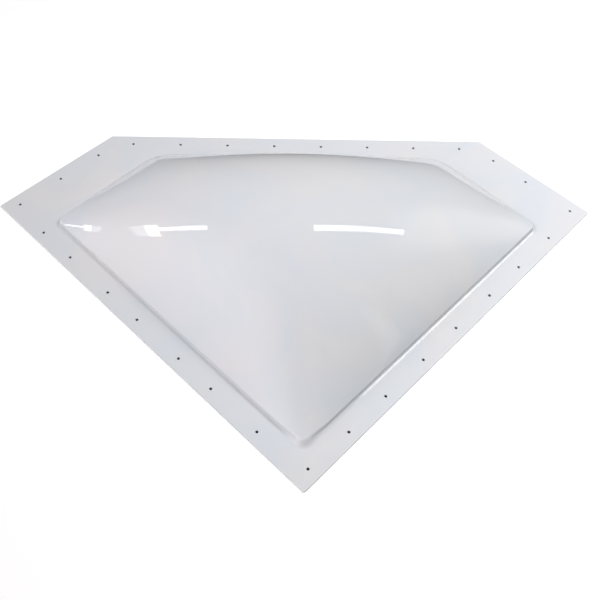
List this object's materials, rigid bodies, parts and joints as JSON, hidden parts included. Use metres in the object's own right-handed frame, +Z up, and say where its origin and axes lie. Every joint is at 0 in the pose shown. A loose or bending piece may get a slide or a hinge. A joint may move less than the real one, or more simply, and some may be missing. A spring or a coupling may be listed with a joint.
{
  "type": "roof skylight",
  "caption": "Neo-angle roof skylight for a corner shower: a white translucent plastic sheet blown into a low dome, with a flat drilled flange to screw down.",
  "frame": {"origin": "middle of the plan on the underside of the flange, the face that lies on the roof", "axes": "+Z up from the roof through the crown, +X along the straight rear side to the right, -Y towards the front corner"},
  "size_m": [1.0756, 0.7174, 0.1286],
  "materials": {
    "skylight_sheet": "glossy milky white sheet that lets diffuse light through"
  },
  "bodies": {
    "root": {"skylight_sheet": "skylight_sheet"}
  },
  "joints": []
}
